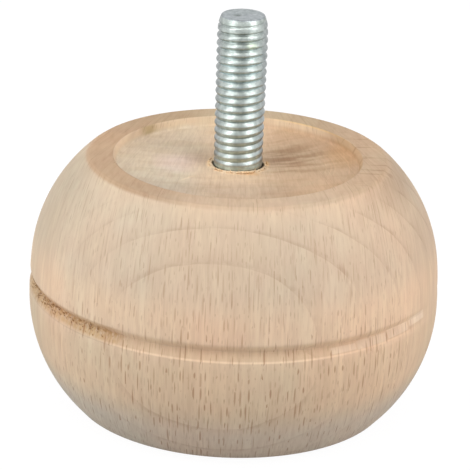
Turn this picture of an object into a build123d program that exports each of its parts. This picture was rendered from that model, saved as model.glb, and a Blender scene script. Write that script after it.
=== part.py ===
from build123d import *
import math
import os

# Ball furniture foot: a squat ball turned from one piece of beech, with an M8 threaded stud in its top.
# Frame: origin at the centre of the flat base, +Z up along the stud. All sizes in millimetres.

# Outside of the turned ball
ball_diameter = 63.0
ball_height = 40.0
widest_height = 17.8
side_radius = 70.0
side_rise = 6.1
rim_diameter = 45.5
rim_edge_chamfer = 0.3
base_diameter = 47.0
base_edge_radius = 1.5

# The belly and the shoulder are each two tangent arcs, which meet this far inside a single arc
knee_depth = 0.05

# Relieved centre of the top, so that the foot seats on its rim
recess_diameter = 38.0
recess_depth = 1.4
recess_wall_slant = 0.6

# V groove round the side, with an eased brow above it and a longer, crisp-edged wall below
groove_height = 20.65
groove_depth = 0.95
groove_rise = 1.05
groove_drop = 1.55
groove_brow_chamfer = 0.35

# Threaded stud, M8 x 1.25
stud_length = 50.0
stud_projection = 23.7
stud_thread_diameter = 8.0
stud_buried_diameter = 7.2
stud_point_chamfer = 0.6
stud_shoulder_depth = 0.1

# Blind bore that holds the stud
bore_clearance = 0.05
bore_end_gap = 1.7
drill_point_angle = 118.0
mouth_clearance = 0.15
mouth_depth = 0.8

# How far the cutting sections reach past what they cut
overrun = 2.0

ball_radius = ball_diameter / 2
rim_radius = rim_diameter / 2
base_radius = base_diameter / 2
recess_floor = ball_height - recess_depth
stud_radius = stud_thread_diameter / 2
buried_radius = stud_buried_diameter / 2
stud_top = recess_floor + stud_projection
stud_bottom = stud_top - stud_length
stud_shoulder = recess_floor - stud_shoulder_depth
seat_height = recess_floor - mouth_depth


def nearest_corner(section, r, z):
    """The corner of a half section that lies nearest to radius r and height z."""
    place = Vector(r, z)
    return section.vertices().sort_by(lambda corner: (Vector(*corner) - place).length)[0]


def two_arcs(start, direction, end):
    """Two tangent arcs that leave start along direction and meet a little inside the single arc to end."""
    single = TangentArc(start, end, tangent=direction)
    middle = single @ 0.5
    knee = middle + (single.arc_center - middle).normalized() * knee_depth
    first = TangentArc(start, knee, tangent=direction)
    second = TangentArc(knee, end, tangent=first % 1)
    return [first, second]


def ball_section():
    """Half section of the plain ball: flat base, belly arcs, side arc, shoulder arcs and flat top."""
    side_sweep = math.degrees(math.asin(side_rise / side_radius))
    base_edge = (base_radius, 0)
    widest = (ball_radius, widest_height)
    rim_edge = (rim_radius, ball_height)
    side = CenterArc((ball_radius - side_radius, widest_height), side_radius, 0, side_sweep)
    belly = two_arcs(widest, (0, -1), base_edge)
    shoulder = two_arcs(side @ 1, side % 1, rim_edge)
    flat_base = Line((0, 0), base_edge)
    flat_top = Line(rim_edge, (0, ball_height))
    centre_line = Line((0, ball_height), (0, 0))
    section = make_face([flat_base, *belly, side, *shoulder, flat_top, centre_line])
    section = fillet(nearest_corner(section, base_radius, 0), base_edge_radius)
    return chamfer(nearest_corner(section, rim_radius, ball_height), rim_edge_chamfer)


def recess_section():
    """Half section of the shallow recess, with a slanted wall."""
    floor_radius = recess_diameter / 2 - recess_wall_slant
    slant_per_height = recess_wall_slant / recess_depth
    open_radius = recess_diameter / 2 + slant_per_height * overrun
    return make_face(
        Polyline(
            (0, recess_floor),
            (floor_radius, recess_floor),
            (open_radius, ball_height + overrun),
            (0, ball_height + overrun),
            close=True,
        )
    )


def groove_section():
    """Section of the V groove, open outwards past the side of the ball."""
    root = (ball_radius - groove_depth, groove_height)
    upper_slope = groove_rise / groove_depth
    lower_slope = groove_drop / groove_depth
    open_radius = ball_radius + overrun
    reach = groove_depth + overrun
    return make_face(
        Polyline(
            root,
            (open_radius, groove_height - lower_slope * reach),
            (open_radius, groove_height + upper_slope * reach),
            close=True,
        )
    )


def bore_section():
    """Half section of the drilled blind bore, with its drill point and its widened mouth."""
    bore_radius = buried_radius + bore_clearance
    mouth_radius = stud_radius + mouth_clearance
    seat_radius = stud_radius + bore_clearance
    bore_end = stud_bottom - bore_end_gap
    drill_tip = bore_end - bore_radius / math.tan(math.radians(drill_point_angle / 2))
    return make_face(
        Polyline(
            (0, drill_tip),
            (bore_radius, bore_end),
            (bore_radius, seat_height),
            (seat_radius, seat_height),
            (mouth_radius, recess_floor),
            (mouth_radius, recess_floor + overrun),
            (0, recess_floor + overrun),
            close=True,
        )
    )


def turned_body():
    """The beech ball: one section turned about the stud's axis."""
    section = ball_section() - groove_section() - recess_section() - bore_section()
    brow_height = groove_height + groove_rise
    section = chamfer(nearest_corner(section, ball_radius, brow_height), groove_brow_chamfer)
    return revolve(Plane.XZ * section, Axis.Z)


def threaded_stud():
    """The stud: full thread diameter where it is free, and pitch diameter where the wood fills its thread."""
    section = make_face(
        Polyline(
            (0, stud_bottom),
            (buried_radius, stud_bottom),
            (buried_radius, stud_shoulder),
            (stud_radius, stud_shoulder),
            (stud_radius, stud_top - stud_point_chamfer),
            (stud_radius - stud_point_chamfer, stud_top),
            (0, stud_top),
            close=True,
        )
    )
    return revolve(Plane.XZ * section, Axis.Z)


nodes = {
    "turned_body": turned_body(),
    "threaded_stud": threaded_stud(),
}

os.makedirs("parts", exist_ok=True)
for name, solid in nodes.items():
    export_step(solid, f"parts/{name}.step")
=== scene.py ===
import bpy
import math
import numpy as np
from mathutils import Matrix, Vector


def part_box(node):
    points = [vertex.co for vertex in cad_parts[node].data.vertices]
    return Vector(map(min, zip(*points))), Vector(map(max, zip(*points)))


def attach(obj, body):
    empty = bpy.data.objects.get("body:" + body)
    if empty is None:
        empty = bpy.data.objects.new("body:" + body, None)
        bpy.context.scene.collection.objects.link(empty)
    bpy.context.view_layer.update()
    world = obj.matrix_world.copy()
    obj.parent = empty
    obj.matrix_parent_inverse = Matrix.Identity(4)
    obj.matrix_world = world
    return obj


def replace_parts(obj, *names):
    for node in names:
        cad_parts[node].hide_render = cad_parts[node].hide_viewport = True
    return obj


# Ball furniture foot: a turned beech ball with an M8 stud, dressed over the CAD frame.
# Shapes are worked out in millimetres and written to the meshes in metres.
# A bearing is in degrees round the foot from its front, and grows to the right as the camera sees it.
MM = 0.001

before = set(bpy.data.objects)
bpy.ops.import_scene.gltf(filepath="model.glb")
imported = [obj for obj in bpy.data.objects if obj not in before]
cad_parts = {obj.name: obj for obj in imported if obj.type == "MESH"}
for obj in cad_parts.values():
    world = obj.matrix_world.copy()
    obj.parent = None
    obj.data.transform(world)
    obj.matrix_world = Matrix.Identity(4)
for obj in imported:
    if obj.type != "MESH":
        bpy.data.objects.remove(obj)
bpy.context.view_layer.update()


def corners(node):
    """A CAD node's lowest and highest corner, to a tenth of a millimetre, which evens out its facets."""
    return [[round(value / MM, 1) for value in corner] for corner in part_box(node)]


# Outer sizes of the two solids, from the frame
BALL_R, _, BALL_H = corners("turned_body")[1]
STUD_R, _, STUD_TOP = corners("threaded_stud")[1]
STUD_BOTTOM = corners("threaded_stud")[0][2]

# Turned ball: the arc of its side, and its rim, recess and base
WIDEST_Z = 17.8
SIDE_ARC_R = 70.0
SIDE_RISE = 6.1
RIM_R = 22.75
BASE_R = 23.5
RECESS_R = 19.0
RECESS_DEPTH = 1.4
RECESS_SLANT = 0.6
FLOOR_R = RECESS_R - RECESS_SLANT
FLOOR_Z = BALL_H - RECESS_DEPTH

# V groove: its root, and how far its walls rise and drop over its depth
GROOVE_Z = 20.65
GROOVE_DEPTH = 0.95
GROOVE_RISE = 1.05
GROOVE_DROP = 1.55

# Bore, which is drilled for the buried half of the stud and widened at its mouth
BURIED_R = 3.6
BORE_CLEARANCE = 0.05
MOUTH_CLEARANCE = 0.15
MOUTH_DEPTH = 0.8
END_GAP = 1.7
DRILL_POINT = 2.2
BORE_R = BURIED_R + BORE_CLEARANCE
SEAT_R = STUD_R + BORE_CLEARANCE
MOUTH_R = STUD_R + MOUTH_CLEARANCE
SEAT_Z = FLOOR_Z - MOUTH_DEPTH
BORE_END = STUD_BOTTOM - END_GAP
DRILL_TIP = BORE_END - DRILL_POINT

# Rolled thread: its pitch, and a height where its crest passes the front of the foot.
# Its rows start out of sight, in the mouth of the bore.
PITCH = 1.25
CREST_Z = 60.7
THREAD_START_Z = 37.9
ROWS_PER_PITCH = 18

# Crest radius and valley depth where the thread leaves the wood, and what both gain up to the end
CREST_R, CREST_GAIN = 3.72, 0.18
VALLEY_DEPTH, VALLEY_GAIN = 0.14, 0.38

# Power of the thread's section: 1 is a plain V, and more gives flatter crests and sharper valleys
VALLEY_SHAPE = 1.6

# Top of the plain collar at the wood, and the height in which the thread grows out of it
COLLAR_Z, RUN_OUT = 39.2, 0.8

# Worn end of the stud: the largest radius at these distances from its end face
END_DISTANCES = (0.0, 0.08, 0.4, 1.3, 3.0, 9.0)
END_RADII = (3.2, 3.3, 3.44, 3.7, 3.84, 3.9)

# End face: the radii of its rows, the dimple in it, and its middle, which is sunk a little
FACE_RADII = (3.08, 2.9, 2.4, 1.9, 1.5, 1.15, 0.85, 0.55, 0.25)
DIMPLE_X, DIMPLE_Y = -0.85, -0.2
DIMPLE_HALF_X, DIMPLE_HALF_Y = 0.8, 0.55
DIMPLE_DEPTH = 0.16
FACE_SUNK_R, FACE_SUNK = 2.6, 0.02

# Marks on the recess floor: the radii of the clamp's faint rings, and a scratch by its middle and direction
CLAMP_RINGS = (13.45, 14.2, 14.8, 17.0)
SCRATCH_X, SCRATCH_Y = -7.7, -7.1
SCRATCH_DX, SCRATCH_DY = 0.66, 0.75

# Humps round the foot are given by their bearing, half width in degrees and height or share.
# Windows are where the mouth stays open beside the stud, and torn wood closes it elsewhere.
MOUTH_WINDOWS = ((88, 16, 0.22), (-94, 18, 0.22))
MOUTH_CLOSING = 0.33
LIP_HUMPS = ((5, 75, 0.30), (-98, 26, 0.20), (95, 24, 0.24))
GROOVE_SHALLOW = ((92, 55, 1.6),)
GROOVE_TORN = ((-62, 34, 0.04),)
GROOVE_CHIPPED = ((50, 26, 0.16),)

# Clumps of fibres round the mouth: bearing, spread in degrees, number and length
FIBRE_CLUMPS = (
    (8, 34, 34, 0.75),
    (58, 12, 9, 0.5),
    (-44, 14, 16, 0.6),
    (97, 16, 9, 0.6),
    (-100, 16, 9, 0.55),
)

# Fuzz in the groove: how many fibres, the bearing of their middle and their spread to either side
FUZZ_COUNT, FUZZ_MIDDLE, FUZZ_SPREAD = 100, -58, 27


# Meshes

def new_mesh(name, points, faces, material):
    """A piece from points in millimetres, riding on the part's one body."""
    mesh = bpy.data.meshes.new(name)
    mesh.from_pydata([tuple(p) for p in np.asarray(points) * MM], [], faces)
    mesh.update()
    piece = bpy.data.objects.new(name, mesh)
    bpy.context.scene.collection.objects.link(piece)
    mesh.polygons.foreach_set("use_smooth", [True] * len(mesh.polygons))
    mesh.materials.append(material)
    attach(piece, "root")
    return piece


def lathe(radius, height, turn, pole_heights, flip=False):
    """Points and faces of a turned surface, rows along it and columns round it, closed at both poles."""
    rows, columns = radius.shape
    ring = np.stack([radius * np.cos(turn), radius * np.sin(turn), height], axis=2).reshape(-1, 3)
    points = np.concatenate([ring, [(0.0, 0.0, z) for z in pole_heights]])
    faces = []
    for i in range(rows - 1):
        for j in range(columns):
            k = (j + 1) % columns
            faces.append((i * columns + j, i * columns + k, (i + 1) * columns + k, (i + 1) * columns + j))
    for j in range(columns):
        k = (j + 1) % columns
        faces.append((rows * columns, k, j))
        faces.append((rows * columns + 1, (rows - 1) * columns + j, (rows - 1) * columns + k))
    return points, [face[::-1] for face in faces] if flip else faces


def bearing(turn):
    """Bearing of an angle that is given in radians from the x axis."""
    return (np.degrees(turn) + 90 + 180) % 360 - 180


def swell(value, centre, half_width):
    """A smooth hump of 1 at centre that ends half_width away."""
    away = np.clip(np.abs(value - centre) / half_width, 0, 1)
    return 0.5 + 0.5 * np.cos(np.pi * away)


def swells(around, humps):
    """Humps of a given bearing, half width and height, added up."""
    return sum(height * swell(around, centre, half_width) for centre, half_width, height in humps)


def ragged(turn, knots, seed):
    """Uneven values from 0 to 1 round the foot, straight between their knots."""
    values = np.random.default_rng(seed).random(knots)
    return np.interp(turn % (2 * np.pi), np.linspace(0, 2 * np.pi, knots + 1), np.append(values, values[0]))


# Beech ball

def arc_through(start, direction, end, count):
    """Points on the arc that leaves start along direction and reaches end."""
    start, end = np.array(start, float), np.array(end, float)
    direction = np.array(direction, float) / np.linalg.norm(direction)
    normal = np.array([-direction[1], direction[0]])
    chord = end - start
    reach = chord @ chord / (2 * chord @ normal)
    centre = start + reach * normal
    first = math.atan2(*(start - centre)[::-1])
    last = math.atan2(*(end - centre)[::-1])
    sweep = (last - first + math.pi) % (2 * math.pi) - math.pi
    angle = first + sweep * np.linspace(0, 1, count)
    return centre + abs(reach) * np.stack([np.cos(angle), np.sin(angle)], axis=1)


def side_radius(z):
    """Radius of the plain side of the ball, with no groove in it."""
    return BALL_R - SIDE_ARC_R + np.sqrt(SIDE_ARC_R ** 2 - (z - WIDEST_Z) ** 2)


def side_arc(start, end, count):
    """Points on the plain side between two heights."""
    heights = np.linspace(start, end, count)
    return np.stack([side_radius(heights), heights], axis=1)


def line(start, end, count):
    """Evenly spaced points from start to end."""
    share = np.linspace(0, 1, count)[:, None]
    return np.array(start, float) * (1 - share) + np.array(end, float) * share


def groove_edges():
    """Heights where the groove's two walls meet the plain side."""
    heights = np.linspace(GROOVE_Z - 3, GROOVE_Z + 3, 2401)
    above = np.abs(heights - GROOVE_Z) * GROOVE_DEPTH
    wall = BALL_R - GROOVE_DEPTH + above / np.where(heights > GROOVE_Z, GROOVE_RISE, GROOVE_DROP)
    cut = heights[wall < side_radius(heights)]
    return cut.min(), cut.max()


# The profiles run up the bore, over the top and down the side to the base. Their rows stand about
# a tenth of a millimetre off each true corner, which leaves the edges slightly worn.

def bore_profile():
    """The bore, from half way along its drill point up to its mouth."""
    drill_point = line((BORE_R / 2, (DRILL_TIP + BORE_END) / 2), (BORE_R, BORE_END), 2)
    bore_wall = line((BORE_R, BORE_END + 0.2), (BORE_R, SEAT_Z), 3)
    widened_mouth = line((SEAT_R, SEAT_Z), (MOUTH_R, FLOOR_Z - 0.05), 6)
    return [drill_point, bore_wall, widened_mouth]


def top_profile():
    """The recess floor, its slanted wall and the rim, with close rows at the lip and at each clamp ring."""
    floor_end = FLOOR_R - 0.12
    lip_radii = MOUTH_R + np.array((0.03, 0.09, 0.17, 0.27, 0.39, 0.53, 0.7))
    even_radii = np.linspace(MOUTH_R + 0.9, floor_end, 24)
    ring_radii = [ring + side for ring in CLAMP_RINGS for side in (-0.14, 0.0, 0.14)]
    radii = np.concatenate([lip_radii, np.sort(np.concatenate([even_radii, ring_radii]))])
    floor = np.stack([radii, np.full(len(radii), FLOOR_Z)], axis=1)
    slanted_wall = line((floor_end + 0.16, FLOOR_Z + 0.12), (RECESS_R - 0.06, BALL_H - 0.14), 7)
    inner_edge = line((RECESS_R, BALL_H - 0.05), (RECESS_R + 0.1, BALL_H), 2)
    rim = line((RECESS_R + 0.4, BALL_H), (RIM_R - 0.34, BALL_H), 10)
    outer_edge = line((RIM_R - 0.08, BALL_H - 0.05), (RIM_R + 0.08, BALL_H - 0.22), 3)
    return [floor, slanted_wall, inner_edge, rim, outer_edge]


def side_profile():
    """The shoulder, the side with its groove, the belly and the rounded edge of the base."""
    sweep = math.asin(SIDE_RISE / SIDE_ARC_R)
    side_top_z = WIDEST_Z + SIDE_RISE
    side_top = (side_radius(side_top_z), side_top_z)
    shoulder = arc_through(side_top, (-math.sin(sweep), math.cos(sweep)), (RIM_R, BALL_H), 44)[::-1]
    belly = arc_through((BALL_R, WIDEST_Z), (0, -1), (BASE_R, 0), 40)
    edge_z, brow_z = groove_edges()
    root = np.array((BALL_R - GROOVE_DEPTH, GROOVE_Z))
    brow = np.array((side_radius(brow_z), brow_z))
    edge = np.array((side_radius(edge_z), edge_z))
    eased_brow = line(brow + (-0.05, 0.16), brow + (-0.2, -0.16), 4)
    upper_wall = line(brow + (-0.27, -0.27), root, 8)[:-1]
    lower_wall = line(root, edge, 13)
    side_above = side_arc(side_top_z, brow_z + 0.4, 6)
    side_at_edge = side_arc(edge_z - 0.1, edge_z - 0.7, 5)
    side_below = side_arc(edge_z - 0.9, WIDEST_Z, 3)[:-1]
    foot_r, foot_z = belly[-5]
    base_edge = [(foot_r - 0.55, foot_z - 0.62), (BASE_R - 0.95, 0.32), (BASE_R - 1.45, 0.1)]
    base_flat = [(BASE_R - 2.0, 0.0), (12.0, 0.0)]
    groove = [eased_brow, upper_wall, lower_wall]
    lower_side = [side_at_edge, side_below, belly[:-4], base_edge, base_flat]
    return [shoulder[2:-1], side_above] + groove + lower_side


def worn_mouth(radius, height, turn):
    """The bore's mouth: a ragged edge, open at both sides of the stud, with a lip of torn-up fibres."""
    around = bearing(turn)
    opening = swells(around, MOUTH_WINDOWS) - MOUTH_CLOSING
    raggedness, floor_moved, lip_width = 0.16, 1.2, 0.45
    ragged_edge = raggedness * (ragged(turn, 70, 3) - 0.5) * (0.4 + 0.6 * swell(around, 0, 110))
    near = np.clip((MOUTH_R + floor_moved - radius) / floor_moved, 0, 1)
    deep = np.clip((height - SEAT_Z) / MOUTH_DEPTH, 0, 1)
    shifted = radius + (opening + ragged_edge) * near * deep
    lip = swells(around, LIP_HUMPS) * (0.55 + 0.45 * ragged(turn, 46, 5)) + 0.03
    fall = np.exp(-np.clip(radius - MOUTH_R, 0, None) / lip_width)
    at_mouth = (height > FLOOR_Z - 0.2) & (radius < MOUTH_R + 2.5)
    return shifted, height + lip * fall * at_mouth


def from_scratch(x, y):
    """How far a place on the floor lies from the scratch's middle, along it and across it."""
    along = (x - SCRATCH_X) * SCRATCH_DX + (y - SCRATCH_Y) * SCRATCH_DY
    across = (y - SCRATCH_Y) * SCRATCH_DX - (x - SCRATCH_X) * SCRATCH_DY
    return along, across


def marked_floor(radius, height, turn):
    """Faint rings that the clamp pressed into the floor, and the scratch in front of the stud."""
    on_floor = (np.abs(height - FLOOR_Z) < 0.001) & (radius > MOUTH_R + 1.5)
    ring_height, ring_width, clearest_at, spread = 0.035, 0.1, 95, 50
    rings = sum(ring_height * np.exp(-((radius - ring) / ring_width) ** 2) for ring in CLAMP_RINGS)
    rings = rings * (0.1 + 0.9 * swell(bearing(turn), clearest_at, spread))
    disc_depth, disc_edge = 0.05, 0.15
    disc = -disc_depth * np.clip((CLAMP_RINGS[0] - radius) / disc_edge, 0, 1)
    along, across = from_scratch(radius * np.cos(turn), radius * np.sin(turn))
    scratch_height, half_width, half_length = 0.05, 0.22, 2.2
    taper = np.clip((half_length - np.abs(along)) / 0.6, 0, 1)
    scratch = scratch_height * np.exp(-(across / half_width) ** 2) * taper
    return height + (rings + disc + scratch) * on_floor


def uneven_groove(radius, height, turn):
    """The groove is torn on the left, fades out at the far right and has a chipped edge before that."""
    edge_z, brow_z = groove_edges()
    around = bearing(turn)
    plain = side_radius(height)
    outside = (height < brow_z + 0.2) & (radius > BALL_R - 3)
    in_groove = (height > edge_z) & outside
    near_groove = (height > edge_z - 0.8) & outside
    depth = 1.0 - 0.95 * np.minimum(swells(around, GROOVE_SHALLOW), 1.0)
    cut = np.where(in_groove, (plain - radius) * depth, plain - radius)
    tear = swells(around, GROOVE_TORN) * (ragged(turn, 200, 11) - 0.35) * swell(height, GROOVE_Z + 0.1, 1.2)
    flakes = np.round(ragged(turn, 54, 13) * 3) / 3
    chip = swells(around, GROOVE_CHIPPED) * flakes * swell(height, edge_z + 0.15, 0.75)
    return np.where(near_groove, np.minimum(plain, plain - cut - (tear + chip)), radius)


def beech_ball(material):
    """The turned ball as one lathe surface with its tool marks, chips and worn edges."""
    profile = np.concatenate(bore_profile() + top_profile() + side_profile())
    columns = 480
    turn = np.linspace(0, 2 * math.pi, columns, endpoint=False)
    radius = np.repeat(profile[:, :1], columns, axis=1)
    height = np.repeat(profile[:, 1:], columns, axis=1)
    turns = np.broadcast_to(turn, radius.shape)
    radius, height = worn_mouth(radius, height, turns)
    height = marked_floor(radius, height, turns)
    radius = uneven_groove(radius, height, turns)
    points, faces = lathe(radius, height, turn, (DRILL_TIP, 0.0), flip=True)
    return new_mesh("beech_ball", points, faces, material)


# Torn fibres

def splinters(name, starts, ends, widths, material):
    """Thin three-sided slivers that taper from start to end, with a bend half way."""
    rng = np.random.default_rng(17)
    bend_at, bend, bend_width = 0.55, 0.08, 0.7
    points, faces = [], []
    for start, end, width in zip(starts, ends, widths):
        run = end - start
        side = np.cross(run, rng.normal(size=3))
        side /= np.linalg.norm(side)
        other = np.cross(run, side)
        other /= np.linalg.norm(other)
        aside = side * rng.normal() + other * rng.normal()
        middle = start + run * bend_at + aside * bend * np.linalg.norm(run)
        first = len(points)
        for centre, size in ((start, width), (middle, width * bend_width)):
            for angle in (0.0, 2.1, 4.2):
                points.append(centre + (side * math.cos(angle) + other * math.sin(angle)) * size / 2)
        points.append(end)
        for a, b in ((0, 1), (1, 2), (2, 0)):
            faces.append((first + a, first + b, first + b + 3, first + a + 3))
            faces.append((first + a + 3, first + b + 3, first + 6))
        faces.append((first + 2, first + 1, first))
    return new_mesh(name, points, faces, material)


def at(around, radius, z):
    """A point by its bearing, radius and height."""
    turn = math.radians(around - 90)
    return np.array((radius * math.cos(turn), radius * math.sin(turn), z))


def mouth_fibres(material):
    """Slivers that the stud tore up round its bore, some lying and some standing."""
    rng = np.random.default_rng(23)
    starts, ends, widths = [], [], []
    for centre, spread, count, length in FIBRE_CLUMPS:
        for _ in range(count):
            around = centre + rng.normal() * spread * 0.5
            root = at(around, MOUTH_R + 0.12 + rng.random() * 0.25, FLOOR_Z + 0.02)
            out = at(around + rng.normal() * 30, 1.0, 0.0)
            rise = 0.3 + 0.5 * rng.random()
            run = out * (0.9 - rise) + np.array((0, 0, rise))
            starts.append(root)
            ends.append(root + run * length * (0.5 + rng.random()))
            widths.append(0.13 + 0.1 * rng.random())
    return splinters("mouth_fibres", starts, ends, widths, material)


def groove_fibres(material):
    """Fuzz in the groove's left stretch: most of it on the lower wall, the rest hanging from the brow."""
    rng = np.random.default_rng(29)
    brow_z = groove_edges()[1]
    lower_share = 0.72
    starts, ends, widths = [], [], []
    for _ in range(FUZZ_COUNT):
        around = FUZZ_MIDDLE + FUZZ_SPREAD * (2 * rng.beta(2, 2) - 1)
        if rng.random() < lower_share:
            z = GROOVE_Z - 0.1 - 1.15 * rng.random()
            wall = BALL_R - GROOVE_DEPTH + (GROOVE_Z - z) * GROOVE_DEPTH / GROOVE_DROP
            start = at(around, wall - 0.12, z)
            tip_r = min(wall + 0.1 + 0.22 * rng.random(), BALL_R - 0.1)
            end = at(around + rng.normal() * 0.35, tip_r, z + 0.25 + 0.55 * rng.random())
        else:
            z = brow_z - 0.15 - 0.35 * rng.random()
            wall = side_radius(z) - 0.3
            start = at(around, wall - 0.1, z + 0.1)
            end = at(around + rng.normal() * 0.3, wall + 0.05, z - 0.35 - 0.4 * rng.random())
        starts.append(start)
        ends.append(end)
        widths.append(0.1 + 0.14 * rng.random())
    return splinters("groove_fibres", starts, ends, widths, material)


# Zinc stud

def thread_radius(z, around):
    """Radius of the rolled thread, which is fuller and deeper towards the stud's end."""
    phase = (z - CREST_Z) / PITCH - around / 360
    from_crest = 2 * np.abs((phase + 0.5) % 1.0 - 0.5)
    share = (z - FLOOR_Z) / (STUD_TOP - FLOOR_Z)
    crest = CREST_R + CREST_GAIN * share
    depth = VALLEY_DEPTH + VALLEY_GAIN * np.sqrt(np.clip(share, 0, 1))
    depth = depth * np.clip((z - COLLAR_Z) / RUN_OUT, 0, 1)
    return crest - depth * from_crest ** VALLEY_SHAPE


def zinc_stud(material):
    """The stud with a real right-hand helix where it is free, and a plain core in the wood."""
    columns = 120
    turn = np.linspace(0, 2 * math.pi, columns, endpoint=False)
    tip_chamfer = 0.3
    core_rows = (
        (BURIED_R / 2, STUD_BOTTOM),
        (BURIED_R - tip_chamfer, STUD_BOTTOM),
        (BURIED_R, STUD_BOTTOM + tip_chamfer),
        (BURIED_R, THREAD_START_Z - 0.1),
    )
    radii = [np.full(columns, r) for r, _ in core_rows]
    heights = [np.full(columns, z) for _, z in core_rows]
    free = np.append(np.arange(THREAD_START_Z, STUD_TOP - 0.03, PITCH / ROWS_PER_PITCH), STUD_TOP)
    for z in free:
        largest = np.interp(STUD_TOP - z, END_DISTANCES, END_RADII)
        radii.append(np.minimum(thread_radius(z, bearing(turn)), largest))
        heights.append(np.full(columns, z))
    for r in FACE_RADII:
        dent_x = (r * np.cos(turn) - DIMPLE_X) / DIMPLE_HALF_X
        dent_y = (r * np.sin(turn) - DIMPLE_Y) / DIMPLE_HALF_Y
        dent = DIMPLE_DEPTH * np.exp(-np.hypot(dent_x, dent_y) ** 2)
        radii.append(np.full(columns, r))
        heights.append(STUD_TOP - dent - FACE_SUNK * (r < FACE_SUNK_R))
    poles = (STUD_BOTTOM, STUD_TOP - FACE_SUNK)
    points, faces = lathe(np.array(radii), np.array(heights), turn, poles)
    return new_mesh("zinc_stud", points, faces, material)


# Material nodes

class Graph:
    """A material's nodes, made one after another. A value is a socket or a plain number."""

    def __init__(self, name):
        self.material = bpy.data.materials.new(name)
        self.material.use_nodes = True
        self.nodes = self.material.node_tree.nodes
        self.links = self.material.node_tree.links
        self.nodes.clear()

    def put(self, socket, value):
        if isinstance(value, bpy.types.NodeSocket):
            self.links.new(value, socket)
        elif value is not None:
            socket.default_value = value

    def add(self, kind, inputs=(), **settings):
        node = self.nodes.new(kind)
        for key, value in settings.items():
            setattr(node, key, value)
        for key, value in dict(inputs).items():
            self.put(node.inputs[key], value)
        return node

    def calc(self, operation, a, b=None):
        node = self.add("ShaderNodeMath", operation=operation)
        for socket, value in zip(node.inputs, (a, b)):
            self.put(socket, value)
        return node.outputs[0]

    def plus(self, *values):
        total = values[0]
        for value in values[1:]:
            total = self.calc("ADD", total, value)
        return total

    def minus(self, a, b):
        return self.calc("SUBTRACT", a, b)

    def times(self, *values):
        product = values[0]
        for value in values[1:]:
            product = self.calc("MULTIPLY", product, value)
        return product

    def size(self, value):
        """The value without its sign."""
        return self.calc("ABSOLUTE", value)

    def vector(self, operation, a, b=None, scale=None):
        node = self.add("ShaderNodeVectorMath", operation=operation)
        self.put(node.inputs[0], a)
        self.put(node.inputs[1], b)
        if scale is not None:
            self.put(node.inputs["Scale"], scale)
        return node.outputs["Value"] if operation == "LENGTH" else node.outputs[0]

    def split(self, vector):
        return self.add("ShaderNodeSeparateXYZ", {0: vector}).outputs

    def join(self, x, y, z):
        return self.add("ShaderNodeCombineXYZ", {0: x, 1: y, 2: z}).outputs[0]

    def noise(self, vector, cells, detail=2.0, roughness=0.5):
        """Noise from 0 to 1 with so many cells per millimetre along each axis."""
        place = self.vector("MULTIPLY", vector, cells)
        inputs = {"Vector": place, "Scale": 1.0, "Detail": detail, "Roughness": roughness}
        return self.add("ShaderNodeTexNoise", inputs).outputs[0]

    def step(self, value, low, high, out_low=0.0, out_high=1.0):
        """A smooth step from out_low to out_high, as the value goes from low to high."""
        inputs = {"Value": value, "From Min": low, "From Max": high, "To Min": out_low, "To Max": out_high}
        return self.add("ShaderNodeMapRange", inputs, interpolation_type="SMOOTHSTEP").outputs[0]

    def between(self, value, low, high, soft):
        """1 between low and high, easing to 0 over soft on either side."""
        rise = self.step(value, low - soft, low + soft)
        return self.times(rise, self.step(value, high + soft, high - soft))

    def spot(self, place, centre, reach):
        """1 at centre, easing to 0 at this reach along each axis."""
        away = self.vector("DIVIDE", self.vector("SUBTRACT", place, centre), reach)
        return self.step(self.vector("LENGTH", away), 1.0, 0.15)

    def blend(self, amount, a, b, mode="MIX"):
        node = self.add("ShaderNodeMix", data_type="RGBA", blend_type=mode)
        self.put(node.inputs[0], amount)
        self.put(node.inputs[6], a)
        self.put(node.inputs[7], b)
        return node.outputs[2]

    def tint(self, colour, *tints):
        """The colour, multiplied by each tint's factor where its amount is 1."""
        for amount, factor in tints:
            colour = self.blend(amount, colour, (*factor, 1.0), "MULTIPLY")
        return colour

    def stains(self, colour, place, stains, where=1.0):
        """The colour with named stains, each a centre, a reach along each axis and a factor."""
        for centre, reach, factor in stains.values():
            colour = self.tint(colour, (self.times(self.spot(place, centre, reach), where), factor))
        return colour

    def finish(self, **shader_inputs):
        """The material, with one shader for its whole surface."""
        inputs = {name.replace("_", " "): value for name, value in shader_inputs.items()}
        shader = self.add("ShaderNodeBsdfPrincipled", inputs)
        self.links.new(shader.outputs[0], self.add("ShaderNodeOutputMaterial").inputs[0])
        return self.material


class Place:
    """Where a shaded point lies on the foot: in millimetres, by its radius and by its bearing."""

    def __init__(self, g):
        coordinates = g.add("ShaderNodeTexCoord").outputs
        self.p = g.vector("SCALE", coordinates["Object"], scale=1 / MM)
        self.normal = coordinates["Normal"]
        self.x, self.y, self.z = g.split(self.p)
        self.radius = g.calc("SQRT", g.plus(g.times(self.x, self.x), g.times(self.y, self.y)))
        self.around = g.times(g.calc("ARCTAN2", self.x, g.times(self.y, -1.0)), 180 / math.pi)
        self.off_front = g.size(self.around)


def srgb(r, g, b):
    """A colour as read off a screen, 0 to 255, in the linear light that shaders take."""
    def linear(v):
        v /= 255
        return v / 12.92 if v <= 0.04045 else ((v + 0.055) / 1.055) ** 2.4
    return (linear(r), linear(g), linear(b), 1.0)


# Raw beech

CREAM, PALE_CREAM = srgb(236, 208, 176), srgb(229, 206, 176)
PINK_WOOD, TAN_WOOD, FIBRE_WOOD = srgb(228, 194, 168), srgb(208, 176, 147), srgb(202, 171, 141)
LATE_WOOD, RING_EDGE = srgb(198, 164, 136), srgb(172, 134, 106)
LONG_RAY, SMALL_RAY, BIG_RAY = srgb(174, 130, 98), srgb(162, 122, 90), srgb(162, 110, 74)

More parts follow.
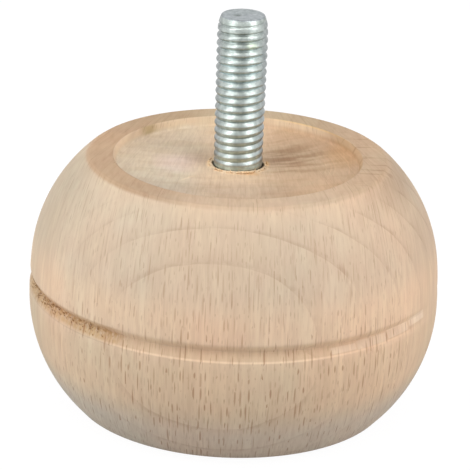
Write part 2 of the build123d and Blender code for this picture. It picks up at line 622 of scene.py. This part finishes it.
# Growth rings: their pith behind the foot, the width of a year, and how far out the first and last ones lie
PITH_X, PITH_Y, PITH_SLANT = -6.0, 52.0, 0.4
RING_WIDTH, FIRST_RING, LAST_RING = 3.05, 1.82, 81.1

# Ray sheets: they fan out from a point behind the foot, and lie this many millimetres apart per radian
FAN_X, FAN_Y, FAN_SCALE = -1.0, 60.0, 90.0

# Rays: cell, half width, half height and the faintest of them
BIG_RAYS = ((1.0, 9.0, 2.9), 0.1, 1.1, 0.1)
SMALL_RAYS = ((0.6, 7.0, 1.9), 0.07, 0.5, 0.0)
LONG_RAYS = ((1.8, 9.0, 6.5), 0.07, 2.0, 0.3)

# Stains of the side and of the recess floor, with a painted sheen and a painted shade on the floor beside
# the stud, and the torn wood's posts and the stain at the mouth
SIDE_STAINS = {
    "core": ((-2.0, -31.0, 23.5), (9.5, 9.0, 4.6), (1.0, 0.955, 0.95)),
    "blush": ((-26.0, -15.0, 19.0), (9.0, 9.0, 13.0), (1.0, 0.97, 0.965)),
}
FLOOR_STAINS = {
    "orange": ((16.0, 6.0, FLOOR_Z), (4.5, 9.0, 4.0), (1.0, 0.91, 0.80)),
    # a painted sheen on a burnished patch left of the stud, and after it a painted shade behind it
    "painted_sheen": ((-9.2, 0.0, FLOOR_Z), (5.2, 6.4, 4.0), (1.13, 1.11, 1.24)),
    "shade": ((-5.7, 3.0, FLOOR_Z), (3.4, 5.0, 4.0), (0.93, 0.92, 0.92)),
}
MOUTH_STAINS = {
    "left_post": ((-4.45, 0.0, FLOOR_Z + 0.2), (0.6, 2.2, 1.0), (1.22, 1.20, 1.12)),
    "right_post": ((4.5, 0.6, FLOOR_Z + 0.2), (0.6, 1.8, 1.0), (1.22, 1.18, 1.02)),
    "orange_edge": ((2.0, -4.3, FLOOR_Z + 0.1), (2.2, 1.1, 1.2), (1.0, 0.91, 0.78)),
}

# Bands of the side: heights from and to, softness and what they multiply the wood's colour by
SIDE_BANDS = {
    "crown": (27.0, 40.0, 3.0, (0.84, 0.88, 0.92)),
    "middle": (20.5, 31.0, 2.5, (1.045, 1.04, 1.04)),
    "lower": (8.0, 18.3, 0.9, (0.96, 0.97, 0.95)),
}

# Parts of the groove, in the same manner, with their heights counted from its root
GROOVE_BANDS = {
    # painted shade under the brow, on the front of the upper wall
    "upper_wall": (0.05, 1.1, 0.12, (0.98, 0.98, 0.95)),
    "lower_wall": (-1.3, -0.05, 0.12, (0.85, 0.82, 0.79)),
    # painted shade that dims the lower edge on the left, and a painted highlight along it in front
    "painted_edge_shade": (-1.7, -1.3, 0.08, (0.88, 0.86, 0.84)),
    "painted_edge_highlight": (-1.6, -1.37, 0.08, (1.06, 1.06, 1.06)),
    # the torn wood's browner colour, with painted shade under its brow
    "torn_and_shaded_brow": (-0.05, 1.15, 0.2, (0.86, 0.79, 0.72)),
    "torn_root": (-0.35, 0.65, 0.3, (0.84, 0.74, 0.60)),
    "torn_fuzz": (-1.25, 0.15, 0.3, (0.92, 0.84, 0.68)),
}

# Flakes chipped off the groove's lower wall: bearings from and to, and heights from and to
FLAKES = (
    (28.0, 36.0, 19.5, 20.3),
    (36.5, 47.5, 19.4, 20.5),
    (48.0, 57.0, 19.5, 20.8),
    (58.0, 66.0, 19.8, 21.1),
)
FRESH_WOOD = (1.11, 1.19, 1.29)


def growth_rings(g, here):
    """Each point's distance from the pith, the late wood of its year and that year's crisp edge."""
    bend = g.minus(g.noise(here.p, (0.03, 0.03, 0.035), 1.0), 0.5)
    wave = g.minus(g.noise(here.p, (0.08, 0.08, 0.05)), 0.5)
    from_x = g.plus(here.x, -PITH_X, g.times(here.y, PITH_SLANT), g.times(bend, 2.4))
    from_y = g.minus(here.y, PITH_Y)
    pith = g.calc("SQRT", g.plus(g.times(from_x, from_x), g.times(from_y, from_y)))
    ring = g.plus(pith, g.times(g.minus(here.z, 20.0), 0.03), g.times(wave, 0.8))
    year = g.calc("FRACT", g.calc("DIVIDE", g.minus(ring, FIRST_RING), RING_WIDTH))

    # the rings are faint at the left, on the top and, below the crown, at the right
    crown = g.step(here.z, 28.0, 32.0, 0.45, 1.2)
    right = g.plus(g.times(g.step(here.x, 16.0, 8.0), g.minus(1.0, crown)), crown)
    left = g.step(here.x, -26.0, -10.0, 0.15, 1.0)
    clear = g.times(left, right, g.step(here.z, 38.4, 37.0, 0.2, 1.0))
    grown = g.times(g.step(ring, LAST_RING + 0.15, LAST_RING), clear)
    late = g.times(g.calc("POWER", year, 4.0), grown)
    patchy = g.step(g.noise(here.p, (0.5, 0.5, 0.5), 3.0, 0.6), 0.42, 0.62)
    edge = g.times(g.step(year, 0.84, 0.96), g.step(year, 1.0, 0.98), grown, patchy)
    return ring, late, edge


def rays(g, grain, cell, half_width, half_height, faintest):
    """Dashes of ray tissue, one to a cell, thin across the grain and tall along it."""
    cells = g.add("ShaderNodeTexVoronoi", {
        "Vector": g.vector("DIVIDE", grain, cell), "Scale": 1.0, "Randomness": 1.0,
    }, feature="F1", distance="EUCLIDEAN")
    centre = g.vector("MULTIPLY", cells.outputs["Position"], cell)
    away = g.split(g.vector("SUBTRACT", grain, centre))
    chance = g.split(cells.outputs["Color"])
    wide = g.times(half_width, g.step(chance[0], 0.0, 1.0, 0.6, 1.4))
    tall = g.times(half_height, g.step(chance[1], 0.0, 1.0, 0.4, 1.5))
    dx = g.calc("DIVIDE", away[0], wide)
    dz = g.calc("DIVIDE", away[2], tall)
    distance = g.plus(g.times(dx, dx), g.times(dz, dz))
    return g.times(g.step(distance, 1.8, 0.2), g.step(chance[2], 0.0, 1.0, faintest, 1.0))


def side_tints(g, base, here, on_side):
    """Stains and tones down the side and round it, painted shade at the foot and where the side turns away
    from the front, and a darker shoulder.
    """
    base = g.stains(base, here.p, SIDE_STAINS, on_side)
    for low, high, soft, factor in SIDE_BANDS.values():
        base = g.tint(base, (g.times(g.between(here.z, low, high, soft), on_side), factor))
    # Painted shade at the base: the wood turns darker and greyer towards the bottom, standing in for dim,
    # cool light from the floor, a little more away from the front
    foot = g.times(g.step(here.z, 12.0, 5.0), on_side)
    from_back = g.times(g.step(here.off_front, 172.0, 110.0), on_side)
    shoulder = g.times(g.step(here.z, 34.5, 39.0), g.between(here.around, 55.0, 160.0, 20.0))
    return g.tint(
        base,
        (foot, (0.815, 0.895, 0.985)),
        (g.times(foot, g.step(here.off_front, 15.0, 35.0)), (0.935, 0.985, 1.01)),
        (g.times(from_back, g.step(here.around, -12.0, -42.0)), (1.05, 1.07, 1.085)),
        (g.times(from_back, g.step(here.around, 12.0, 42.0)), (1.11, 1.06, 1.04)),
        # painted shade where the side turns away from the front, at the left and right
        (g.times(on_side, g.between(here.off_front, 65.0, 105.0, 10.0)), (0.88, 0.90, 0.90)),
        (g.times(on_side, shoulder), (0.82, 0.78, 0.76)),
    )


def groove_tints(g, base, here, on_side):
    """The groove's walls and edges, with painted shade under its brow and a painted highlight and painted
    shade on its lower edge, its torn left stretch, partly painted shade, and the pale flakes on its right.
    """
    flecks = g.noise(here.p, (2.0, 2.0, 0.5), 3.0, 0.65)
    torn = g.between(here.around, -88.0, -32.0, 2.5)
    stretches = {
        "upper_wall": g.step(here.off_front, 75.0, 50.0),
        "lower_wall": g.calc("MAXIMUM", g.step(here.around, 66.0, 50.0), g.step(here.around, 126.0, 146.0)),
        "painted_edge_shade": g.between(here.around, -140.0, -34.0, 6.0),
        "painted_edge_highlight": g.between(here.around, -30.0, 24.0, 8.0),
        "torn_and_shaded_brow": torn,
        "torn_root": g.times(torn, g.step(flecks, 0.38, 0.62)),
        "torn_fuzz": g.times(torn, g.step(flecks, 0.28, 0.6)),
    }
    for name, (low, high, soft, factor) in GROOVE_BANDS.items():
        band = g.between(here.z, GROOVE_Z + low, GROOVE_Z + high, soft)
        base = g.tint(base, (g.times(band, on_side, stretches[name]), factor))
    for left, right, low, high in FLAKES:
        flake = g.times(g.between(here.around, left, right, 0.4), g.between(here.z, low, high, 0.1))
        base = g.tint(base, (g.times(flake, on_side), FRESH_WOOD))
    return base


def floor_tints(g, base, here, ring, floor):
    """The recess floor: pale on the left, with a painted sheen and a painted shade beside the stud,
    red-brown streaks on the right, clamp rings and the scratch.
    """
    base = g.stains(base, here.p, FLOOR_STAINS, floor)
    across_grain = g.minus(here.x, g.times(here.y, 0.35))
    streaks = g.noise(g.join(across_grain, ring, 0.0), (0.10, 0.42, 0.0), 3.0, 0.6)
    fine = g.noise(here.p, (2.6, 0.35, 0.5), 2.0, 0.6)
    streaked = g.times(g.spot(here.p, (8.0, 3.5, FLOOR_Z), (8.5, 10.0, 4.0)), g.step(streaks, 0.42, 0.62))
    in_front = g.times(g.step(here.y, -5.0, -12.0), g.step(here.x, 12.0, 4.0))
    base = g.tint(
        base,
        (g.times(floor, g.step(here.x, 1.0, 8.0)), (0.83, 0.765, 0.71)),
        (g.times(floor, g.step(here.x, -3.0, -9.0)), (0.95, 1.03, 1.10)),
        (g.times(floor, in_front), (0.81, 0.81, 0.83)),
        (g.times(floor, streaked), (0.72, 0.63, 0.57)),
        (g.times(floor, g.step(fine, 0.45, 0.65)), (0.94, 0.93, 0.92)),
        (g.times(floor, g.step(streaks, 0.45, 0.6)), (0.95, 0.93, 0.90)),
    )
    right_side = g.times(floor, g.between(here.around, 78.0, 112.0, 8.0))
    for clamp_ring in CLAMP_RINGS:
        mark = g.step(g.size(g.minus(here.radius, clamp_ring)), 0.17, 0.04)
        base = g.tint(base, (g.times(right_side, mark), (1.09, 1.09, 1.09)))
    dx, dy = g.minus(here.x, SCRATCH_X), g.minus(here.y, SCRATCH_Y)
    across = g.minus(g.times(dy, SCRATCH_DX), g.times(dx, SCRATCH_DY))
    near = g.spot(here.p, (SCRATCH_X, SCRATCH_Y, FLOOR_Z), (2.2, 2.4, 2.0))
    return g.tint(base, (g.times(floor, g.step(g.size(across), 0.35, 0.1), near), (1.13, 1.12, 1.10)))


def mouth_tints(g, base, here, floor):
    """The pale torn lip round the stud, with an orange stain in front."""
    base = g.stains(base, here.p, MOUTH_STAINS)
    patches = g.step(g.noise(here.p, (3.0, 3.0, 3.0), 2.0), 0.35, 0.6)
    lip = g.times(floor, g.step(here.radius, 5.2, 4.4), patches)
    torn_up = g.times(g.step(here.z, FLOOR_Z + 0.1, FLOOR_Z + 0.35), g.step(here.radius, 5.8, 5.2))
    return g.tint(base, (lip, (1.22, 1.22, 1.15)), (torn_up, (1.2, 1.22, 1.2)))


def wall_tints(g, base, here, wall):
    """The slanted wall: a dark wedge at the left, browner on the right, with a painted highlight on its edge
    at the back.
    """
    edge = g.between(here.radius, RECESS_R - 0.1, RECESS_R + 0.06, 0.06)
    return g.tint(
        base,
        (g.times(wall, g.between(here.around, -136.0, -127.0, 4.0)), (0.72, 0.70, 0.58)),
        (g.times(wall, g.step(here.off_front, 125.0, 145.0)), (0.96, 0.98, 0.97)),
        (g.times(wall, g.between(here.around, 40.0, 130.0, 9.0)), (0.80, 0.74, 0.65)),
        # painted highlight along the recess's inner edge at the back
        (g.times(edge, g.between(here.around, 125.0, 160.0, 12.0)), (1.08, 1.04, 0.86)),
    )


def rim_tints(g, base, here, rim):
    """The rim: browner on the left, with fine lines along the grain and darker cuts on the right."""
    lines = g.noise(here.p, (0.9, 0.18, 0.3), 2.0, 0.6)
    cuts = g.step(g.noise(here.p, (0.12, 1.3, 0.4), 1.0), 0.6, 0.68)
    cut_side = g.times(g.between(here.around, 60.0, 125.0, 10.0), g.step(here.z, FLOOR_Z, FLOOR_Z + 0.8))
    return g.tint(
        base,
        (g.times(rim, g.between(here.around, -170.0, -28.0, 18.0)), (0.76, 0.685, 0.63)),
        (g.times(rim, g.step(here.off_front, 62.0, 25.0)), (0.84, 0.835, 0.84)),
        (g.times(rim, g.between(here.around, 45.0, 170.0, 20.0)), (0.79, 0.75, 0.72)),
        (g.times(rim, g.step(here.off_front, 120.0, 150.0)), (0.89, 0.94, 0.92)),
        (g.times(rim, g.step(lines, 0.48, 0.72)), (0.93, 0.90, 0.88)),
        (g.times(cut_side, cuts), (0.84, 0.79, 0.76)),
    )


def ray_figure(g, here, grain, top):
    """The big, small and long rays, as strong as each shows on that part of the foot."""
    strength = g.times(
        g.step(here.z, 19.0, 27.0, 1.0, 0.55),
        g.step(here.z, 30.0, 34.0, 1.0, 0.6),
        g.step(top, 0.0, 1.0, 1.0, 0.3),
    )
    long_strength = g.times(g.step(here.z, 22.0, 26.0), g.step(top, 0.0, 1.0, 1.0, 0.4))
    # where the surface lies along the ray sheets, the rays show faintly and not as dashes
    across_rays = g.step(g.size(g.split(here.normal)[0]), 0.93, 0.72, 0.08, 1.0)
    big = g.times(rays(g, grain, *BIG_RAYS), strength, across_rays)
    small = g.times(rays(g, grain, *SMALL_RAYS), across_rays)
    long_ray = g.times(rays(g, grain, *LONG_RAYS), long_strength, across_rays)
    return big, small, long_ray


def beech_material():
    """Raw beech with its fibres along Z, growth rings about a far pith and medullary rays."""
    g = Graph("raw_beech")
    here = Place(g)
    ring, late, edge = growth_rings(g, here)
    fan = g.times(g.calc("ARCTAN2", g.minus(here.x, FAN_X), g.minus(FAN_Y, here.y)), FAN_SCALE)
    waver = g.times(g.noise(here.p, (0.2, 0.1, 0.12), 1.0), 0.25)
    grain = g.join(g.plus(fan, waver), here.y, here.z)
    top = g.step(here.z, 38.2, 38.5)
    big, small, long_ray = ray_figure(g, here, grain, top)

    fibre = g.noise(grain, (2.8, 0.4, 0.13), 2.0, 0.6)
    streak = g.noise(grain, (1.2, 0.25, 0.08), 2.0)
    cloud = g.noise(here.p, (0.09, 0.09, 0.07))
    blush = g.noise(here.p, (0.35, 0.35, 0.22), 1.0)
    fibre_strength = g.step(here.z, 27.0, 38.0, 0.28, 0.14)
    base = g.blend(g.step(cloud, 0.35, 0.65), CREAM, PALE_CREAM)
    for amount, colour in (
        (g.step(blush, 0.35, 0.65, 0.0, 0.25), PINK_WOOD),
        (g.step(streak, 0.3, 0.7, 0.0, 0.3), TAN_WOOD),
        (g.times(g.step(fibre, 0.35, 0.7), fibre_strength), FIBRE_WOOD),
        (g.times(late, 0.24), LATE_WOOD),
        (g.times(edge, 0.2), RING_EDGE),
        (g.times(long_ray, 0.45), LONG_RAY),
        (g.times(small, 0.3), SMALL_RAY),
        (g.times(big, 0.6), BIG_RAY),
    ):
        base = g.blend(amount, base, colour)

    floor = g.times(g.step(here.radius, FLOOR_R + 0.35, FLOOR_R), top)
    inside_rim = g.step(here.radius, RECESS_R + 0.1, RECESS_R - 0.05)
    wall = g.times(g.step(here.radius, FLOOR_R, FLOOR_R + 0.2), inside_rim, top)
    outside_recess = g.step(here.radius, RECESS_R - 0.05, RECESS_R + 0.1)
    rim = g.times(outside_recess, g.step(here.z, BALL_H - 0.6, BALL_H - 0.2))
    on_side = g.times(g.step(here.z, BALL_H - 0.2, BALL_H - 0.6), g.step(here.radius, 20.5, 22.0))
    base = side_tints(g, base, here, on_side)
    base = groove_tints(g, base, here, on_side)
    base = floor_tints(g, base, here, ring, floor)
    base = mouth_tints(g, base, here, floor)
    base = wall_tints(g, base, here, wall)
    base = rim_tints(g, base, here, rim)

    height = g.plus(g.times(fibre, -0.5), g.times(big, -0.3))
    bump = g.add("ShaderNodeBump", {"Height": height, "Strength": 0.25, "Distance": 0.06 * MM})
    return g.finish(
        Base_Color=base, Normal=bump.outputs[0], Roughness=0.62, IOR=1.45, Specular_IOR_Level=0.3,
    )


# Bright zinc

ZINC, CLOUDED_ZINC = srgb(194, 202, 198), srgb(162, 171, 168)

# Stains of the stud: the yellow and the blue of its plating, the darker dimple, and a painted dark
# reflection at the front of its end
ZINC_STAINS = {
    "yellow": ((1.5, -3.6, 58.4), (1.4, 1.6, 0.8), (1.0, 1.02, 0.86)),
    "blue": ((-0.1, -3.9, 51.8), (1.0, 1.2, 0.7), (0.92, 0.98, 1.06)),
    "dimple": ((DIMPLE_X, DIMPLE_Y, STUD_TOP - 0.1), (1.0, 0.9, 0.6), (0.45, 0.46, 0.47)),
    "painted_dark_reflection": ((-0.45, -3.2, STUD_TOP), (1.3, 0.5, 0.4), (0.62, 0.62, 0.62)),
}


def zinc_material():
    """Bright zinc plate with a faint cool cast and a cloudy gloss, with painted light that makes the
    undersides of its thread paler, and painted shade and reflections at its foot, sides, middle and end
    face.
    """
    g = Graph("bright_zinc")
    here = Place(g)
    cloud = g.noise(here.p, (1.3, 1.3, 1.3), 3.0, 0.6)
    fine = g.noise(here.p, (3.0, 3.0, 9.0), 3.0, 0.6)
    turns_up = g.calc("DIVIDE", g.minus(here.z, CREST_Z), PITCH)
    phase = g.calc("FRACT", g.minus(turns_up, g.calc("DIVIDE", here.around, 360.0)))
    underside = g.between(phase, 0.5, 0.95, 0.05)
    off_middle = g.size(here.x)
    colour = g.blend(g.step(cloud, 0.3, 0.7), ZINC, CLOUDED_ZINC)
    colour = g.stains(colour, here.p, ZINC_STAINS)
    colour = g.tint(
        colour,
        # painted light: the thread's undersides are lightened, and cooled where the wood's brown reflection
        # would show
        (underside, (0.98, 0.99, 0.97)),
        (g.times(underside, g.step(here.z, 61.0, 54.0)), (1.17, 1.33, 1.48)),
        # painted shade where the stud goes into the wood
        (g.step(here.z, FLOOR_Z + 0.3, FLOOR_Z + 0.1), (0.62, 0.60, 0.55)),
        # painted shade at the stud's left and right edges
        (g.step(off_middle, 2.7, 3.6), (0.74, 0.72, 0.75)),
        # painted dark reflection down the middle of the thread, below its end
        (g.times(g.step(off_middle, 1.3, 0.3), g.step(here.z, 61.9, 60.5)), (0.78, 0.78, 0.77)),
        # painted reflection: the end face darker and bluer
        (g.step(here.z, STUD_TOP - 0.15, STUD_TOP - 0.06), (0.80, 0.79, 0.86)),
    )
    roughness = g.step(cloud, 0.3, 0.7, 0.32, 0.42)
    bump = g.add("ShaderNodeBump", {"Height": fine, "Strength": 0.3, "Distance": 0.03 * MM})
    return g.finish(Base_Color=colour, Metallic=1.0, Roughness=roughness, Normal=bump.outputs[0])


# Studio

# Floor: how far it reaches to each side, and what makes it white where it is seen
FLOOR_REACH = 1500.0
FLOOR_GLOW, GLOW_SHARE = 1.14, 0.84

# World: its white where it is seen, and its light on the wood
WORLD_WHITE, WORLD_LIGHT = 1.0, 0.12

# Lamps: azimuth, elevation, width and height in metres, power, and whether the metal mirrors them
LAMP_DISTANCE = 0.9
LAMPS = {
    "box_left": (-53, 32, 0.42, 2.0, 6.0, True),
    "box_right": (53, 32, 0.42, 2.0, 6.0, True),
    "box_front": (0, 15, 0.6, 0.6, 1.0, False),
    "box_top": (0, 80, 0.8, 0.8, 2.1, False),
    "box_far_left": (-100, 15, 0.6, 0.6, 2.5, False),
    "box_far_right": (100, 15, 0.6, 0.6, 2.0, False),
}


def studio_floor():
    """A white floor that shows as white and keeps a faint shadow."""
    g = Graph("white_floor")
    path = g.add("ShaderNodeLightPath").outputs
    mirrored = g.calc("MAXIMUM", path["Is Glossy Ray"], path["Is Transmission Ray"])
    shown = g.calc("MAXIMUM", path["Is Camera Ray"], mirrored)
    diffuse = g.add("ShaderNodeBsdfDiffuse", {"Color": (0.5, 0.49, 0.51, 1)}).outputs[0]
    glow = g.add("ShaderNodeEmission", {"Color": (1, 1, 1, 1), "Strength": FLOOR_GLOW}).outputs[0]
    mixed = g.add("ShaderNodeMixShader", {0: GLOW_SHARE, 1: diffuse, 2: glow}).outputs[0]
    shader = g.add("ShaderNodeMixShader", {0: shown, 1: diffuse, 2: mixed})
    g.links.new(shader.outputs[0], g.add("ShaderNodeOutputMaterial").inputs[0])
    reach = FLOOR_REACH * MM
    square = [(-reach, -reach, 0), (reach, -reach, 0), (reach, reach, 0), (-reach, reach, 0)]
    mesh = bpy.data.meshes.new("floor")
    mesh.from_pydata(square, [], [(0, 1, 2, 3)])
    mesh.materials.append(g.material)
    floor = bpy.data.objects.new("floor", mesh)
    bpy.context.scene.collection.objects.link(floor)


def studio_world():
    """White where it is seen, straight or in the metal, and a faint even light on the wood."""
    world = bpy.data.worlds.new("studio")
    bpy.context.scene.world = world
    world.use_nodes = True
    nodes, links = world.node_tree.nodes, world.node_tree.links
    nodes.clear()
    path = nodes.new("ShaderNodeLightPath")

    def plain(strength):
        background = nodes.new("ShaderNodeBackground")
        background.inputs["Color"].default_value = (1, 1, 1, 1)
        background.inputs["Strength"].default_value = strength
        return background.outputs[0]

    def choose(ray, otherwise, shown):
        mix = nodes.new("ShaderNodeMixShader")
        links.new(path.outputs[ray], mix.inputs[0])
        links.new(otherwise, mix.inputs[1])
        links.new(shown, mix.inputs[2])
        return mix.outputs[0]

    white = plain(WORLD_WHITE)
    light = plain(WORLD_LIGHT)
    for ray in ("Is Glossy Ray", "Is Transmission Ray", "Is Camera Ray"):
        light = choose(ray, light, white)
    links.new(light, nodes.new("ShaderNodeOutputWorld").inputs[0])


def soft_box(name, azimuth, elevation, width, height, power, mirrored):
    """An area lamp aimed at the foot. Azimuth 0 is the camera's side and grows to its right."""
    a, e = math.radians(azimuth), math.radians(elevation)
    centre = Vector((0, 0, 25 * MM))
    direction = Vector((math.sin(a) * math.cos(e), -math.cos(a) * math.cos(e), math.sin(e)))
    lamp = bpy.data.lights.new(name, "AREA")
    lamp.shape = "RECTANGLE"
    lamp.size = width
    lamp.size_y = height
    lamp.energy = power
    box = bpy.data.objects.new(name, lamp)
    box.location = centre + direction * LAMP_DISTANCE
    box.rotation_euler = (-direction).to_track_quat("-Z", "Y").to_euler()
    box.visible_glossy = mirrored
    bpy.context.scene.collection.objects.link(box)


def photo_camera():
    """The photograph's own view, worked out from the thread, the rim and the outline."""
    elevation, roll = math.radians(20.887), math.radians(2.073)
    distance = 442.7 * MM
    target = Vector((-0.052, 0, 27.05)) * MM
    camera = bpy.data.cameras.new("photo_camera")
    camera.sensor_width = 36.0
    camera.lens = 220.55
    holder = bpy.data.objects.new("photo_camera", camera)
    back = Vector((0, -math.cos(elevation), math.sin(elevation)))
    holder.location = target + back * distance
    turn = (-back).to_track_quat("-Z", "Y").to_matrix().to_4x4() @ Matrix.Rotation(roll, 4, "Z")
    holder.rotation_euler = turn.to_euler()
    bpy.context.scene.collection.objects.link(holder)
    bpy.context.scene.camera = holder


beech = beech_material()
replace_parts(beech_ball(beech), "turned_body")
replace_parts(zinc_stud(zinc_material()), "threaded_stud")
mouth_fibres(beech)
groove_fibres(beech)

studio_floor()
studio_world()
for lamp_name, settings in LAMPS.items():
    soft_box(lamp_name, *settings)
photo_camera()
bpy.context.scene.view_settings.view_transform = "Standard"
